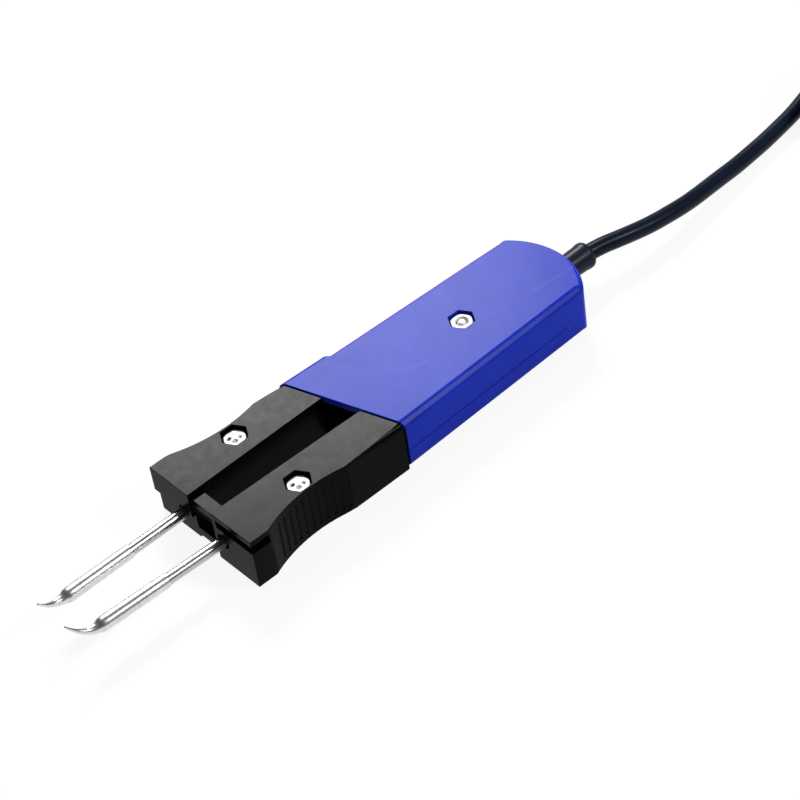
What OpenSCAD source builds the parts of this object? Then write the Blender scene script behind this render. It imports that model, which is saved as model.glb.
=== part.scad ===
// Soldering tweezers: two sprung arms with heated, bent tips, a two-shell body and a free cord.
// Millimetres. X runs across, Y from the tips to the cord, Z up. The part lies on Z = 0.
// The origin is the middle of its footprint, cord and plug apart.

/* [Body] */
// Width over the body's sides at the mouth
body_w = 34.6; // [33:0.2:38]
// Width over the body's rear corners
body_rear_w = 29.8; // [27:0.2:32]
// Height of the body and of the arms
body_h = 15; // [14:0.5:17]
// Length from the middle of the mouth to the rear end
body_len = 74.5; // [70:0.5:84]
// Radius of the rounded rear end, seen from above
rear_r = 21; // [19:0.5:26]
// Radius of the rear corners, seen from above
corner_r = 2.5; // [2.3:0.1:4]
// How far the mouth's left corner lies ahead of its right corner
mouth_slant = 10.4; // [0:0.4:12]
// Radius of the body's long edges
edge_r = 2; // [1.2:0.1:2.5]
// Thickness of the shells
wall = 2; // [1.6:0.1:2.2]
// Height of the seam between the two shells
seam_z = 6; // [5:0.25:6.5]
// How far the left front corner stands out from the side behind it
collar_step = 1.1; // [0.4:0.1:1.4]
// How far that corner reaches behind the middle of the mouth
collar_len = 8.5; // [6:0.5:12]
// Depth of the shallow panel on the top
panel_depth = 0.3; // [0.2:0.05:0.5]
// Distance of the panel's long edge from the middle at its front
panel_front_x = 4.2; // [3:0.2:6]
// Distance of the panel's long edge from the middle at the rear
panel_rear_x = 7.2; // [5:0.2:9]
// Radius of the panel's front corner
panel_r = 11; // [8:0.5:14]
// How far the panel's front edge slants back on its way to that corner
panel_slant = 4; // [2:0.5:6]

/* [Arms] */
// Length of the arms from their front to the middle of the mouth
arm_len = 45.5; // [43:0.5:50]
// Width over both arms at the front
arms_front_w = 38; // [37:0.5:42]
// Width over both arms at the mouth
arms_rear_w = 34; // [33:0.25:34.5]
// Gap between the arms at the front
gap_front = 8.8; // [8:0.2:10]
// Gap between the arms at the mouth
gap_rear = 10.5; // [9.5:0.25:12]
// Radius of the finger grips
grip_r = 40; // [34:1:60]
// Width over both arms at the deepest point of the grips
grip_w = 31.4; // [31:0.2:33]
// Distance from the arms' front to the deepest point of the grips
grip_y = 21.5; // [19:0.5:24]
// Distance between the grips' grooves
rib_pitch = 2.2; // [1.6:0.1:3]
// Radius of the grips' grooves
rib_r = 0.5; // [0.3:0.05:0.7]
// Depth of the grips' grooves
rib_depth = 0.2; // [0.1:0.05:0.3]
// Distance of the grooves' ends from the arms' top and bottom
rib_margin = 1.8; // [1:0.1:3]
// Number of grooves in each grip
rib_count = 12; // [6:1:13]
// Clearance between the arms and the mouth
mouth_clear = 0.6; // [0.5:0.1:1]
// Width of each arm's tang inside the body
tang_w = 7.6; // [7:0.1:8]
// Clearance between the tangs and the shells, above and below
tang_clear = 0.4; // [0.3:0.05:0.6]
// Length of each guide tongue across the gap
tongue_len = 7.3; // [6:0.1:7.5]
// Depth of each guide tongue from front to back
tongue_y = 3.4; // [2.5:0.1:4]
// Thickness of each guide tongue
tongue_h = 2.3; // [1.8:0.1:2.6]
// How far each tongue lies in from the arm's top or bottom
tongue_drop = 1.1; // [0.9:0.1:1.5]
// How far the tongues lie behind the arms' front
tongue_back = 0.6; // [0.5:0.05:1]
// Thickness of the right arm's front lip over its groove
lip_h = 1.4; // [1:0.1:1.8]
// Height of the groove under that lip
lip_groove_h = 2.5; // [1.5:0.1:3]
// Depth of the groove under that lip
lip_groove_d = 1.2; // [0.8:0.1:1.6]
// How far the left arm's lower half is set back at the front
lower_set_back = 1.1; // [0.6:0.1:1.4]

/* [Heaters and tips] */
// Diameter of the heater rods
rod_d = 3; // [2.8:0.1:3.3]
// Distance from each arm's inner side to its rod
rod_inset = 2.95; // [2.8:0.05:3.4]
// Upward tilt of the rods in degrees
rod_tilt = 0.8; // [0:0.1:3]
// Length of bare rod in front of the arms
rod_show = 16.8; // [12:0.1:20]
// Length of each rod inside its arm
rod_inside = 26; // [22:0.5:28]
// Length of each rod inside its tip
rod_in_tip = 12; // [8:0.5:15]
// Diameter of the collar on each rod's rear end
rod_collar_d = 4.6; // [4:0.1:4.8]
// Length of that collar
rod_collar_len = 3; // [2:0.5:4]
// Diameter of the insulating bushes
bush_d = 4.8; // [4.4:0.1:5]
// Length of the insulating bushes
bush_len = 9; // [6:0.5:11]
// Distance of the bushes behind the arms' front
bush_back = 3; // [2:0.25:4]
// Diameter of the tips' sleeves at the rear
tip_rear_d = 3.6; // [3.4:0.05:3.8]
// Diameter of the tips' sleeves at the front
tip_front_d = 3.8; // [3.6:0.05:4.2]
// Length of the tips' sleeves
tip_sleeve_len = 19.7; // [18:0.1:26]
// Forward reach of the bent points past their sleeves
point_run = 7.8; // [6:0.1:10]
// Rise of the bent points above their rods
point_rise = 5; // [3:0.25:6]
// How far the bent points lean in towards each other
point_lean = 1.3; // [0.8:0.1:1.6]
// Diameter of the heater leads
lead_d = 1.2; // [1:0.1:1.3]
// Length of the heater leads inside the arms
lead_len = 34; // [28:1:36]
// Clearance between pieces that are clamped or slipped together
seat_clear = 0.05; // [0.03:0.01:0.1]

/* [Fasteners] */
// Diameter of the screws
screw_d = 3; // [2.5:0.1:3.2]
// Clearance around the screws
screw_clear = 0.15; // [0.1:0.05:0.25]
// Width of the nuts across their flats
nut_af = 5.5; // [5:0.1:5.7]
// Height of the nuts
nut_h = 2.4; // [1.8:0.1:2.8]
// How far the nuts lie below the top
nut_drop = 1.5; // [0.8:0.1:1.8]
// Clearance around the nuts in their pockets
nut_clear = 0.45; // [0.2:0.05:0.5]
// Diameter of the screw heads
head_d = 5.5; // [5:0.1:5.8]
// Height of the screw heads
head_h = 2; // [1.6:0.1:2.4]
// How far the screw heads lie above the bottom
head_drop = 0.4; // [0.2:0.1:0.8]
// Distance from the arms' front to their screws
arm_screw_y = 20.8; // [19:0.2:23]
// Distance from each arm's inner side to its screw
arm_screw_inset = 7.5; // [7.3:0.1:7.6]
// Distance from the middle of the mouth to the body's screw
body_screw_y = 40; // [38:0.5:44]
// Diameter of the bosses around the body's screw
boss_d = 8; // [7:0.25:9]

/* [Pivots and spring] */
// Distance from the middle of the mouth to the pivots
pivot_back = 30; // [27:0.5:31]
// Diameter of the pivot pins
pin_d = 3; // [2.4:0.1:3.4]
// Running clearance of the pivot pins in the arms
pin_clear = 0.05; // [0.03:0.01:0.08]
// Depth of the pins' seats in the shells
pin_seat = 1.2; // [0.8:0.1:1.4]
// Distance from the middle of the mouth to the spring
spring_back = 15; // [13:0.5:19]
// Outside diameter of the spring
spring_d = 5.4; // [5:0.1:6]
// Diameter of the spring's wire
spring_wire = 0.7; // [0.5:0.05:0.8]
// Turns of the spring
spring_turns = 6; // [4:1:8]
// Length of the spigots that hold the spring's ends
spigot_len = 2; // [1.5:0.1:2.5]

/* [Cable sleeve and wiring] */
// Diameter of the cord
cord_d = 4.6; // [4:0.1:5]
// Diameter of the cable sleeve outside the body
sleeve_d = 7.5; // [7:0.1:8]
// Length of the cable sleeve outside the body
sleeve_len = 9.5; // [8:0.5:12]
// Diameter of the sleeve's flange inside the body
flange_d = 10.6; // [10:0.1:10.8]
// Thickness of that flange
flange_t = 2; // [1.5:0.1:2.5]
// Thickness of the rib that holds the flange
rib_t = 1.6; // [1.2:0.1:2]
// Clearance of the cord and of the flange in their seats
cord_clear = 0.1; // [0.05:0.01:0.15]
// Diameter of the wire splices
splice_d = 2.4; // [2:0.1:2.6]
// Length of the wire splices
splice_len = 10; // [8:0.5:12]
// Distance between the wire splices
splice_pitch = 3; // [2.8:0.1:3.4]

/* [Hank and plug] */
// Middle of the tied hank of cord across the part
hank_x = 12.4; // [12:0.1:14]
// Distance from the cable sleeve's end to the middle of the hank's near fold
hank_back = 104.5; // [102:0.5:106]
// Length of the hank's straight runs
hank_run = 72; // [70:1:76]
// Radius of the innermost fold
fold_r = 13.8; // [13.8:0.1:14.6]
// Thickness of the hank's tie
tie_t = 0.7; // [0.5:0.05:0.8]
// Width of the hank's tie
tie_w = 5; // [4:0.5:8]
// Length of the last left run on top of the hank
tail_start = 8; // [6:1:10]
// Length of free cord between the hank and the plug
tail_len = 38; // [36:1:40]
// Gap between the hank and the plug's locking ring
plug_gap = 0.2; // [0.1:0.1:0.5]
// Diameter of the plug's locking ring
ring_d = 14.4; // [14:0.2:16]
// Length of the locking ring
ring_len = 10; // [8:0.5:12]
// Diameter of the plug's shell
plug_d = 13; // [12:0.2:13.6]
// Length of the plug's shell behind the ring
plug_len = 14; // [10:0.5:20]
// Diameter of the plug's nose
nose_d = 11; // [10:0.1:11.4]
// Length of the plug's nose ahead of the ring
nose_len = 8; // [6:0.5:10]
// Wall of the plug's nose
nose_wall = 0.6; // [0.5:0.05:0.8]
// Step from the nose up to the neck that the locking ring turns on
neck_step = 0.2; // [0.15:0.05:0.4]
// Length of the plug's boot
boot_len = 16; // [12:0.5:22]
// Diameter of the boot at the plug
boot_d = 10; // [9:0.2:11]
// Diameter of the plug's contacts
contact_d = 1.2; // [1:0.1:1.4]
// Diameter of the circle of contacts
contact_circle = 5.6; // [5:0.1:6]

/* [Hidden] */
$fn = 48;

// The left side is -1 and the right side is 1
left = -1;
right = 1;
// Overlap that joins or clears faces in the same plane
eps = 0.01;
// Reach of a cut that has to run past everything
far = 60;

// Colours as the photograph shows them
blue = "#4a4fc6";
black = "#2c2c2e";
rubber = "#1d2024";
steel = "#c4c6c8";
ceramic = "#d8d2c4";

// Toe-in of the rods, which follow the arms' inner sides
toe_in = atan((gap_rear - gap_front) / 2 / arm_len);
// Length of a tip and its bare rod along the rod
tip_run = rod_show + tip_sleeve_len + point_run;
// The same length along the part
tip_reach = tip_run * cos(rod_tilt) * cos(toe_in) - point_rise * sin(rod_tilt);
overall_len = tip_reach + arm_len + body_len + sleeve_len;

// Places along the part
front_y = tip_reach - overall_len / 2;
mouth_y = front_y + arm_len;
rear_y = mouth_y + body_len;
end_y = rear_y + sleeve_len;
pivot_y = mouth_y + pivot_back;
spring_y = mouth_y + spring_back;

// Heights
split_z = body_h / 2;
cord_z = body_h / 2;
nut_z = body_h - nut_drop - nut_h;
tang_z0 = wall + tang_clear;
tang_z1 = body_h - wall - tang_clear;

// Places across the part
rod_x = gap_front / 2 + rod_inset;
arm_screw_x = gap_front / 2 + arm_screw_inset;
tang_x = gap_rear / 2;
pivot_x = tang_x + tang_w / 2;
grip_x = grip_w / 2 + grip_r;

// Grips: where the front land ends and where the plain rear side starts
grip_front_depth = (arms_front_w - grip_w) / 2;
grip_rear_depth = (arms_rear_w - grip_w) / 2;
grip_front = grip_y - sqrt(grip_r ^ 2 - (grip_r - grip_front_depth) ^ 2);
grip_rear = grip_y + sqrt(grip_r ^ 2 - (grip_r - grip_rear_depth) ^ 2);

// Rear end of the body: an arc between its corners
corner_angle = asin((body_rear_w / 2 - corner_r) / (rear_r - corner_r));
corner_y = rear_y - rear_r + (rear_r - corner_r) * cos(corner_angle);
// Growth of the body's half-width for each millimetre towards the rear
body_taper = (body_rear_w - body_w) / 2 / (corner_y - mouth_y);
rear_steps = 12;
corner_steps = 5;
edge_steps = 6;

// Heaters: lip that keeps each bush in, reach of the front hole's cut and room behind the leads
bush_lip = 0.3;
front_run = 2;
lead_room = 1;

// Cable sleeve: its flange lies against the curved rear wall
inner_r = rear_r - wall;
flange_sag = inner_r - sqrt(inner_r ^ 2 - (flange_d / 2) ^ 2);
flange_y = rear_y - wall - flange_sag - cord_clear - flange_t;
clamp_y = flange_y - cord_clear - rib_t;
splice_y = clamp_y - rib_t - splice_len;
splice_floor = 0.4;
splice_z = wall + splice_floor + splice_d / 2;
splice_count = 4;

// Tongues: room for the other arm's tongue, above, below, ahead and behind
slot_clear = 0.35;
slot_back_clear = 0.9;
slot_depth = 5.4;
// How far each tongue is rooted in its own arm
tongue_root = 1;

// Hank: two turns lie side by side, in two layers, and the last turn lies on top
turn_gap = 0.1;
outer_fold_r = fold_r + cord_d;
hank_in_r = fold_r - cord_d / 2 - turn_gap;
hank_out_r = outer_fold_r + cord_d / 2 + turn_gap;
hank_y0 = end_y + hank_back;
hank_y1 = hank_y0 + hank_run;
hank_z0 = tie_t + turn_gap;
layer_z0 = hank_z0 + turn_gap + cord_d / 2;
layer_z1 = layer_z0 + cord_d + turn_gap;
hank_z1 = layer_z1 + cord_d / 2 + turn_gap;
layer_z2 = layer_z1 + cord_d + turn_gap;
tie_y = hank_y0 + 52;

// Plug: lies on the surface beside the hank and points away from the tips
plug_x = hank_x - hank_out_r - plug_gap - ring_d / 2;
plug_y = hank_y0 + tail_start + tail_len;
plug_z = ring_d / 2;
neck_d = nose_d + 2 * neck_step;
insert_len = 6;
contact_count = 5;
boot_wall = 0.8;

// Bends of the free cord: across the part, behind the cable sleeve, and the share of the sleeve's
// height that is left, where 0 lies on the surface
cord_bends = [
  [0.7, 5, 1], [1.6, 9, 0.96], [2.4, 13, 0.9], [3, 17.5, 0.8], [3.4, 22, 0.71], [3.5, 27, 0.61],
  [3.4, 32, 0.49], [3, 37.5, 0.37], [2.4, 43, 0.27], [1.8, 49, 0.18], [1.2, 55, 0.08],
  [0.4, 62, 0.02], [-0.4, 69, 0], [-1.4, 76, 0], [-2.6, 83, 0], [-4, 89, 0.02], [-5.2, 94.5, 0.08]
];
cord_rest_z = cord_d / 2 + turn_gap;
// Route of the cord from the body's clamp to the hank's lower layer
cord_route = concat(
  [[0, clamp_y - rib_t / 2, cord_z], [0, rear_y, cord_z], [0, end_y, cord_z]],
  [for (b = cord_bends) [b[0], end_y + b[1], cord_rest_z + (cord_z - cord_rest_z) * b[2]]],
  [[hank_x - outer_fold_r, hank_y0, layer_z0]]
);

function eased(share) = share * share * (3 - 2 * share);

// Route of the cord's last turn: it climbs round the far fold, lies on top of the right run and the near
// fold, and then leaves the hank for the plug, with a straight stretch at its end
fold_steps = 10;
tail_steps = 8;
tail_route = concat(
  [for (i = [0 : fold_steps]) let (angle = 180 * (1 - i / fold_steps)) [
    hank_x + outer_fold_r * cos(angle),
    hank_y1 + outer_fold_r * sin(angle),
    layer_z1 + (layer_z2 - layer_z1) * eased(i / fold_steps)
  ]],
  [for (i = [0 : fold_steps]) let (angle = -180 * i / fold_steps) [
    hank_x + outer_fold_r * cos(angle),
    hank_y0 + outer_fold_r * sin(angle),
    layer_z2
  ]],
  [for (i = [0 : tail_steps]) let (moved = eased(min(1, i / (tail_steps - 1)))) [
    hank_x - outer_fold_r + (plug_x - hank_x + outer_fold_r) * moved,
    hank_y0 + tail_start + tail_len * i / tail_steps,
    layer_z2 + (plug_z - layer_z2) * moved
  ]]
);

function unit(v) = v / norm(v);

// Direction of a path at one of its points
function heading(path, i) = unit(path[min(i + 1, len(path) - 1)] - path[max(i - 1, 0)]);

// Ring of points around a path's point, square to its heading
function ring(centre, dir, ref, r, sides) =
  let (a = unit(cross(ref, dir)), b = cross(dir, a))
  [for (k = [0 : sides - 1]) centre + r * (cos(360 * k / sides) * a + sin(360 * k / sides) * b)];

// Half-width of the body at a place along it
function side_at(y) = body_w / 2 + body_taper * (y - mouth_y);

// Place of the slanted mouth at a place across it
function mouth_at(x) = mouth_y + mouth_slant * x / body_w;

// Points of an arc
function arc(x, y, r, a0, a1, steps) =
  [for (i = [0 : steps]) let (a = a0 + (a1 - a0) * i / steps) [x + r * cos(a), y + r * sin(a)]];

// Corner of the slanted mouth on one side, for a half-width at the mouth's middle, or a point ahead of it
function mouth_corner(side, half_w, ahead) =
  let (x = side * (half_w - body_taper * ahead) / (1 - side * body_taper * mouth_slant / body_w))
  [x, mouth_at(x) - ahead];

// Outline of the body, or of its hollow when set in, from the right front round the rear to the left
function body_outline(inset, ahead = 0) =
  let (
    corner_x = body_rear_w / 2 - corner_r,
    collar_y = mouth_y + collar_len
  )
  concat(
    [mouth_corner(right, body_w / 2 - inset, ahead)],
    arc(corner_x, corner_y, corner_r - inset, 0, 90 - corner_angle, corner_steps),
    [for (i = [1 : rear_steps - 1])
      let (a = 90 - corner_angle + 2 * corner_angle * i / rear_steps)
      [(rear_r - inset) * cos(a), rear_y - rear_r + (rear_r - inset) * sin(a)]],
    arc(-corner_x, corner_y, corner_r - inset, 90 + corner_angle, 180, corner_steps),
    [
      [inset + collar_step / 2 - side_at(collar_y + collar_step), collar_y + collar_step],
      [inset - collar_step / 2 - side_at(collar_y), collar_y],
      mouth_corner(left, (body_w + collar_step) / 2 - inset, ahead)
    ]
  );

// Closed skin over a stack of rings that all have as many points
module skin(rings) {
  sides = len(rings[0]);
  last = len(rings) - 1;
  start_cap = [[for (k = [0 : sides - 1]) k]];
  end_cap = [[for (k = [sides - 1 : -1 : 0]) last * sides + k]];
  walls = [
    for (i = [0 : last - 1], k = [0 : sides - 1])
      let (a = i * sides + k, b = i * sides + (k + 1) % sides)
      each [[a, b + sides, b], [a, a + sides, b + sides]]
  ];
  polyhedron(points = [for (r = rings) each r], faces = concat(start_cap, end_cap, walls));
}

// Closed tube along a path, with a radius at each of its points
module sweep(path, radii, ref, sides) {
  skin([for (i = [0 : len(path) - 1]) ring(path[i], heading(path, i), ref, radii[i], sides)]);
}

// Slab of everything between two heights
module slab(z0, z1) {
  translate([-2 * far, -2 * far, z0]) cube([4 * far, 4 * far, z1 - z0]);
}

// Part of the body's outer form, through levels that are pairs of a height and an inset
module body_form(levels) {
  skin([for (level = levels) [for (p = body_outline(level[1])) [p[0], p[1], level[0]]]]);
}

// The body's hollow between two heights, open at the mouth
module body_hollow(z0, z1, inset) {
  translate([0, 0, z0]) linear_extrude(z1 - z0) polygon(body_outline(inset, edge_r));
}

// Rib across the hollow that holds the cable sleeve's flange
module clamp_rib(z0, z1) {
  intersection() {
    body_hollow(z0, z1, wall - eps);
    translate([-far, clamp_y, z0]) cube([2 * far, rib_t, z1 - z0]);
  }
}

// Boss around the body's screw
module screw_boss(z0, z1) {
  translate([0, mouth_y + body_screw_y, z0]) cylinder(d = boss_d, h = z1 - z0);
}

// Cylinder along Y
module along_y(d, y0, y1) {
  translate([0, y1, 0]) rotate([90, 0, 0]) cylinder(d = d, h = y1 - y0);
}

// Holes that both shells share
module shell_cuts() {
  translate([0, mouth_y + body_screw_y, -eps])
    cylinder(d = screw_d + 2 * screw_clear, h = body_h + 2 * eps);
  translate([0, 0, cord_z]) {
    along_y(cord_d + 2 * cord_clear, clamp_y - eps, clamp_y + rib_t + eps);
    along_y(sleeve_d + 2 * cord_clear, flange_y + flange_t, end_y);
  }
  for (side = [left, right])
    translate([side * pivot_x, pivot_y, wall - pin_seat])
      cylinder(d = pin_d, h = body_h - 2 * wall + 2 * pin_seat);
}

// Shallow panel on the top, behind and to the left of its curved edge
module panel_cut() {
  front = mouth_y + collar_len;
  translate([0, 0, body_h - panel_depth]) linear_extrude(panel_depth + eps)
    polygon(concat(
      [[panel_rear_x, rear_y], [-body_w, rear_y], [-body_w, front], [-body_w / 2, front]],
      arc(panel_front_x - panel_r, front + panel_slant + panel_r, panel_r, -90, 0, 12)
    ));
}

// Pocket for a hexagonal nut, open at the top, with flats towards the sides
module nut_pocket() {
  translate([0, 0, nut_z]) rotate([0, 0, 30])
    cylinder(d = (nut_af + 2 * nut_clear) / cos(30), h = body_h, $fn = 6);
}

// Recess for a screw head, open at the bottom
module head_recess() {
  translate([0, 0, -eps]) cylinder(d = head_d + 2 * screw_clear, h = head_drop + head_h + eps);
}

module body_top_shell() {
  rim = [for (p = arc(edge_r, body_h - edge_r, edge_r, 180, 90, edge_steps)) [p[1], p[0]]];
  color(blue) difference() {
    union() {
      difference() {
        body_form(concat([[seam_z, 0]], rim));
        body_hollow(seam_z - eps, body_h - wall, wall);
      }
      screw_boss(seam_z, body_h - wall / 2);
      clamp_rib(seam_z, body_h - wall / 2);
    }
    shell_cuts();
    panel_cut();
    translate([0, mouth_y + body_screw_y, 0]) nut_pocket();
  }
}

module body_bottom_shell() {
  rim = [for (p = arc(edge_r, edge_r, edge_r, -90, -180, edge_steps)) [p[1], p[0]]];
  color(blue) difference() {
    union() {
      difference() {
        body_form(concat(rim, [[seam_z, 0]]));
        body_hollow(wall, seam_z + eps, wall);
      }
      screw_boss(wall / 2, seam_z);
      clamp_rib(wall / 2, seam_z);
      splice_cradle();
    }
    shell_cuts();
    translate([0, mouth_y + body_screw_y, 0]) head_recess();
    place_splices()
      along_y(splice_d + 2 * seat_clear, splice_y - eps, splice_y + splice_len + eps);
  }
}

// Block on the bottom shell's floor that cradles the wire splices
module splice_cradle() {
  w = splice_count * splice_pitch;
  translate([-w / 2, splice_y, wall / 2]) cube([w, splice_len, splice_z - wall / 2]);
}

module place_splices() {
  for (i = [0 : splice_count - 1])
    translate([(i - (splice_count - 1) / 2) * splice_pitch, 0, splice_z]) children();
}

module wire_splices() {
  color("#8a1f24") place_splices() along_y(splice_d, splice_y, splice_y + splice_len);
}

// Screw from below, with its end inside the nut
module screw() {
  translate([0, 0, head_drop]) cylinder(d = head_d, h = head_h);
  translate([0, 0, head_drop]) cylinder(d = screw_d, h = body_h - nut_drop - 2 * head_drop);
}

module nut() {
  translate([0, 0, nut_z]) difference() {
    rotate([0, 0, 30]) cylinder(d = nut_af / cos(30), h = nut_h, $fn = 6);
    translate([0, 0, -eps]) cylinder(d = screw_d + 2 * seat_clear, h = nut_h + 2 * eps);
  }
}

module body_screw() {
  color(steel) translate([0, mouth_y + body_screw_y, 0]) screw();
}

module body_nut() {
  color(steel) translate([0, mouth_y + body_screw_y, 0]) nut();
}

module pivot_pins() {
  color(steel) for (side = [left, right])
    translate([side * pivot_x, pivot_y, wall - pin_seat])
      cylinder(d = pin_d, h = body_h - 2 * wall + 2 * pin_seat);
}

// Coil spring between the two tangs
module return_spring() {
  steps_per_turn = 11;
  steps = spring_turns * steps_per_turn;
  r = (spring_d - spring_wire) / 2;
  length = 2 * tang_x - spring_wire - 2 * seat_clear;
  path = [
    for (i = [0 : steps])
      let (a = 360 * i / steps_per_turn)
      [length * (i / steps - 0.5), spring_y + r * cos(a), split_z + r * sin(a)]
  ];
  color(steel) sweep(path, [for (p = path) spring_wire / 2], [1, 0, 0], 6);
}

// Outline of an arm in front of the mouth
module arm_outline(side) {
  rear_x = arms_rear_w / 2;
  polygon([
    [side * gap_front / 2, front_y],
    [side * arms_front_w / 2, front_y],
    [side * arms_front_w / 2, front_y + grip_front],
    [side * rear_x, front_y + grip_rear],
    [side * rear_x, mouth_at(side * rear_x) - mouth_clear],
    [side * gap_rear / 2, mouth_at(side * gap_rear / 2) - mouth_clear]
  ]);
}

// Tang that carries an arm on its pivot inside the body
module arm_tang(side) {
  root_y = mouth_at(-body_w / 2) - tang_w;
  translate([0, 0, tang_z0]) linear_extrude(tang_z1 - tang_z0) {
    translate([side * pivot_x - tang_w / 2, root_y]) square([tang_w, pivot_y - root_y]);
    translate([side * pivot_x, pivot_y]) circle(d = tang_w);
  }
  translate([side * (tang_x + eps), spring_y, split_z]) rotate([0, -side * 90, 0])
    cylinder(d = spring_d - 2 * spring_wire - 4 * seat_clear, h = spigot_len + eps);
}

// Concave finger grip with shallow upright grooves
module grip_cut(side) {
  groove_step = rib_pitch / grip_r * 180 / PI;
  groove_at = grip_r - rib_r + rib_depth;
  translate([side * grip_x, front_y + grip_y, 0]) {
    translate([0, 0, -eps]) cylinder(r = grip_r, h = body_h + 2 * eps, $fn = 160);
    for (i = [0 : rib_count - 1]) {
      a = (i - (rib_count - 1) / 2) * groove_step;
      translate([-side * groove_at * cos(a), groove_at * sin(a), rib_margin])
        cylinder(r = rib_r, h = body_h - 2 * rib_margin, $fn = 16);
    }
  }
}

// Rounding of the top edge beside the mouth, which runs out into the grip
module edge_rounding(side) {
  run = mouth_at(side * arms_rear_w / 2) - front_y - grip_y;
  translate([side * (arms_rear_w / 2 - edge_r), front_y + grip_y, body_h - edge_r])
    rotate([atan(-edge_r / run), 0, 0]) translate([0, 0, edge_r]) difference() {
      translate([side > 0 ? 0 : -2 * edge_r, 0, 0]) cube([2 * edge_r, 2 * run, 3 * edge_r]);
      translate([0, -eps, 0]) rotate([-90, 0, 0]) cylinder(r = edge_r, h = 2 * run + 2 * eps);
    }
}

// Moves children to a rod's axis, with their Z forward along the rod and their Y up
module along_rod(side) {
  translate([side * rod_x, front_y, split_z])
    rotate([-rod_tilt, 0, -side * toe_in]) rotate([90, 0, 0]) children();
}

// Channel for the heater, its bush, its collar and its leads
module heater_cut(side) {
  along_rod(side) {
    translate([0, 0, -rod_inside]) cylinder(d = rod_d + 2 * seat_clear, h = rod_inside + front_run);
    translate([0, 0, -bush_back]) cylinder(d = bush_d - 2 * bush_lip, h = bush_back + front_run);
    translate([0, 0, -bush_back - bush_len - seat_clear])
      cylinder(d = bush_d + 2 * seat_clear, h = bush_len + 2 * seat_clear);
    translate([0, 0, -rod_inside - seat_clear])
      cylinder(d = rod_collar_d + 2 * seat_clear, h = rod_collar_len + 2 * seat_clear);
    lead_pair(lead_d + 2 * seat_clear, lead_len + lead_room);
  }
}

// Two leads side by side behind the heater
module lead_pair(d, length) {
  for (i = [left, right])
    translate([i * lead_d, 0, -rod_inside - length]) cylinder(d = d, h = length);
}

// Guide tongue that crosses the gap from one arm, at a height
module tongue(side, z) {
  x0 = side * (gap_front / 2 + tongue_root);
  x1 = side * (gap_front / 2 - tongue_len);
  translate([min(x0, x1), front_y + tongue_back, z]) cube([abs(x1 - x0), tongue_y, tongue_h]);
}

// Slot in an arm for the other arm's tongue
module tongue_slot(side, z) {
  x0 = side * (gap_front / 2 + slot_depth);
  translate([min(x0, 0), front_y + tongue_back - slot_clear, z - slot_clear])
    cube([abs(x0), tongue_y + slot_clear + slot_back_clear, tongue_h + 2 * slot_clear]);
}

// Groove under the right arm's front lip, round its outer corner
module lip_groove() {
  x = arms_front_w / 2;
  z = body_h - lip_h - lip_groove_h;
  translate([gap_front / 2 + lip_groove_d, front_y - eps, z])
    cube([far, lip_groove_d + eps, lip_groove_h]);
  translate([x - lip_groove_d, front_y - eps, z]) cube([far, grip_front + eps, lip_groove_h]);
}

// A whole arm, before it is split into its upper and lower halves
module arm_solid(side) {
  upper_z = body_h - tongue_drop - tongue_h;
  lower_z = tongue_drop;
  difference() {
    union() {
      linear_extrude(body_h) arm_outline(side);
      arm_tang(side);
      tongue(side, side == right ? upper_z : lower_z);
    }
    grip_cut(side);
    edge_rounding(side);
    heater_cut(side);
    tongue_slot(side, side == right ? lower_z : upper_z);
    if (side == right) lip_groove();
    translate([side * arm_screw_x, front_y + arm_screw_y, 0]) {
      translate([0, 0, -eps]) cylinder(d = screw_d + 2 * screw_clear, h = body_h + 2 * eps);
      nut_pocket();
      head_recess();
    }
    translate([side * pivot_x, pivot_y, 0]) cylinder(d = pin_d + 2 * pin_clear, h = body_h);
  }
}

// Everything ahead of the left arm's set-back lower half
module front_step() {
  translate([-far, front_y - far, -eps]) cube([2 * far, far + lower_set_back, body_h]);
}

module arm_half(side, z0, z1) {
  color(black) difference() {
    intersection() {
      arm_solid(side);
      slab(z0, z1);
    }
    if (side == left && z0 < split_z) front_step();
  }
}

module arm_screw(side) {
  color(steel) translate([side * arm_screw_x, front_y + arm_screw_y, 0]) screw();
}

module arm_nut(side) {
  color(steel) translate([side * arm_screw_x, front_y + arm_screw_y, 0]) nut();
}

module heater(side) {
  color(steel) along_rod(side) {
    translate([0, 0, -rod_inside]) cylinder(d = rod_d, h = rod_inside + rod_show + rod_in_tip);
    translate([0, 0, -rod_inside]) cylinder(d = rod_collar_d, h = rod_collar_len);
  }
}

module heater_bush(side) {
  color(ceramic) along_rod(side) translate([0, 0, -bush_back - bush_len]) difference() {
    cylinder(d = bush_d, h = bush_len);
    translate([0, 0, -eps]) cylinder(d = rod_d + 2 * seat_clear, h = bush_len + 2 * eps);
  }
}

module heater_leads(side) {
  color("#b8312f") along_rod(side) lead_pair(lead_d, lead_len);
}

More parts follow.
